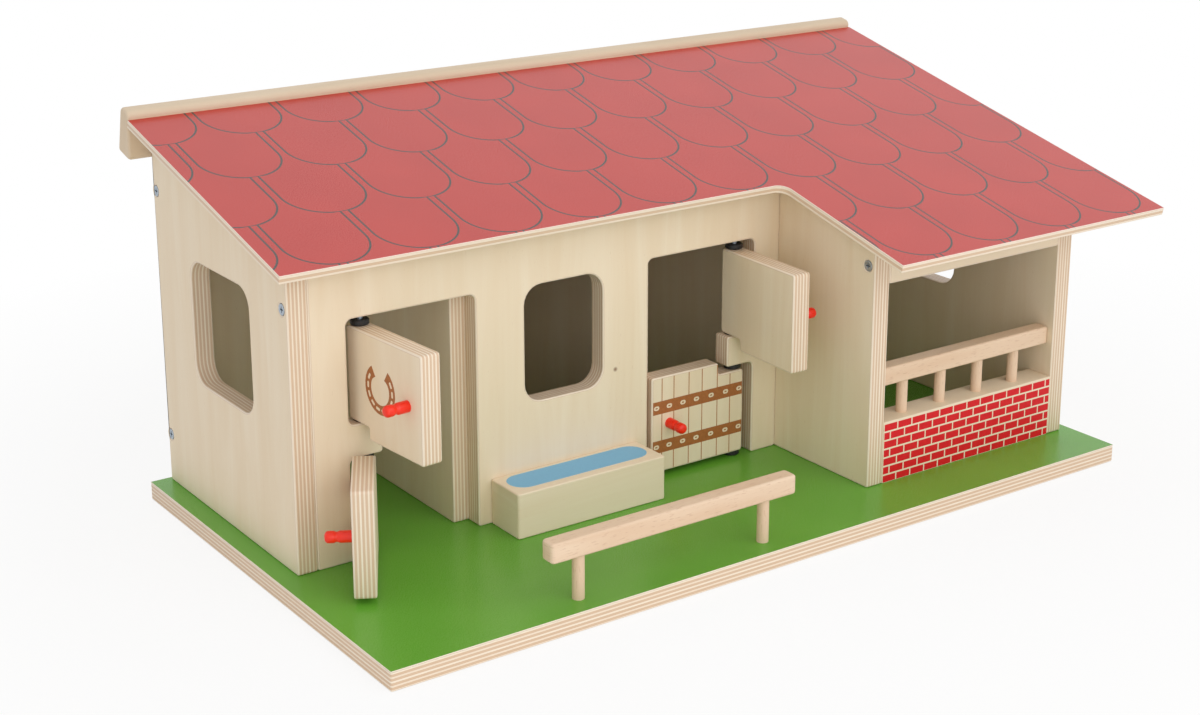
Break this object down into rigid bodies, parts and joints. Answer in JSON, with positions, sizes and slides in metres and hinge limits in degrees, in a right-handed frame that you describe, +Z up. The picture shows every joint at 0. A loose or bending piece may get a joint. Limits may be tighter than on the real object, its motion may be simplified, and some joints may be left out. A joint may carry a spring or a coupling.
{
  "type": "toy barn with opening doors",
  "caption": "Wooden toy stable: flat base with yard, lean-to house with split swinging doors, open bay, trough, hitching rail and lift-off sloping roof.",
  "frame": {"origin": "centre of the base board's underside", "axes": "+X to the right along the front of the barn, +Y from the front to the back, +Z up"},
  "size_m": [0.6785, 0.3809, 0.2961],
  "materials": {
    "plywood": "clear matt lacquer",
    "green_laminate": "satin",
    "red_laminate": "satin",
    "red_painted_wood": "satin lacquer",
    "brick_print": "satin print",
    "beech": "clear matt lacquer",
    "zinc_steel": "zinc plated",
    "black_washer": "matt"
  },
  "bodies": {
    "barn": {"base_board": "plywood", "base_laminate": "green_laminate", "left_wall": "plywood", "front_wall": "plywood", "partition_left": "plywood", "partition_right": "plywood", "bay_wall": "plywood", "right_wall": "plywood", "back_wall": "plywood", "bay_header": "plywood", "brick_board": "brick_print", "bay_balusters": "beech", "bay_rail": "beech", "trough": "plywood", "hitch_posts": "beech", "hitch_bar": "beech", "hinge_rod_left": "zinc_steel", "hinge_rod_right": "zinc_steel", "hinge_washers": "black_washer", "side_screws": "zinc_steel", "back_screws": "zinc_steel", "base_screws": "zinc_steel"},
    "roof": {"roof_panel": "plywood", "roof_laminate": "red_laminate", "ridge_board": "plywood"},
    "upper_left_leaf": {"leaf_upper_left": "plywood", "peg_upper_left": "red_painted_wood"},
    "lower_left_leaf": {"leaf_lower_left": "plywood", "peg_lower_left": "red_painted_wood"},
    "upper_right_leaf": {"leaf_upper_right": "plywood", "peg_upper_right": "red_painted_wood"},
    "lower_right_leaf": {"leaf_lower_right": "plywood", "peg_lower_right": "red_painted_wood"}
  },
  "joints": [
    {"name": "upper_left_hinge", "type": "hinge", "parent": "barn", "child": "upper_left_leaf", "pos_m": [-0.2489, -0.0225, 0.09895], "axis": [0, 0, -1], "range_deg": [-85.5, 31.5]},
    {"name": "lower_left_hinge", "type": "hinge", "parent": "barn", "child": "lower_left_leaf", "pos_m": [-0.2489, -0.0225, 0.09895], "axis": [0, 0, -1], "range_deg": [-119.5, 2.5]},
    {"name": "upper_right_hinge", "type": "hinge", "parent": "barn", "child": "upper_right_leaf", "pos_m": [0.0669, -0.0225, 0.09895], "axis": [0, 0, 1], "range_deg": [-88, 11]},
    {"name": "lower_right_hinge", "type": "hinge", "parent": "barn", "child": "lower_right_leaf", "pos_m": [0.0669, -0.0225, 0.09895], "axis": [0, 0, 1], "range_deg": [0, 99]},
    {"name": "roof_lift", "type": "slide", "parent": "barn", "child": "roof", "axis": [0, 0, 1], "range_m": [0, 0.12]}
  ]
}
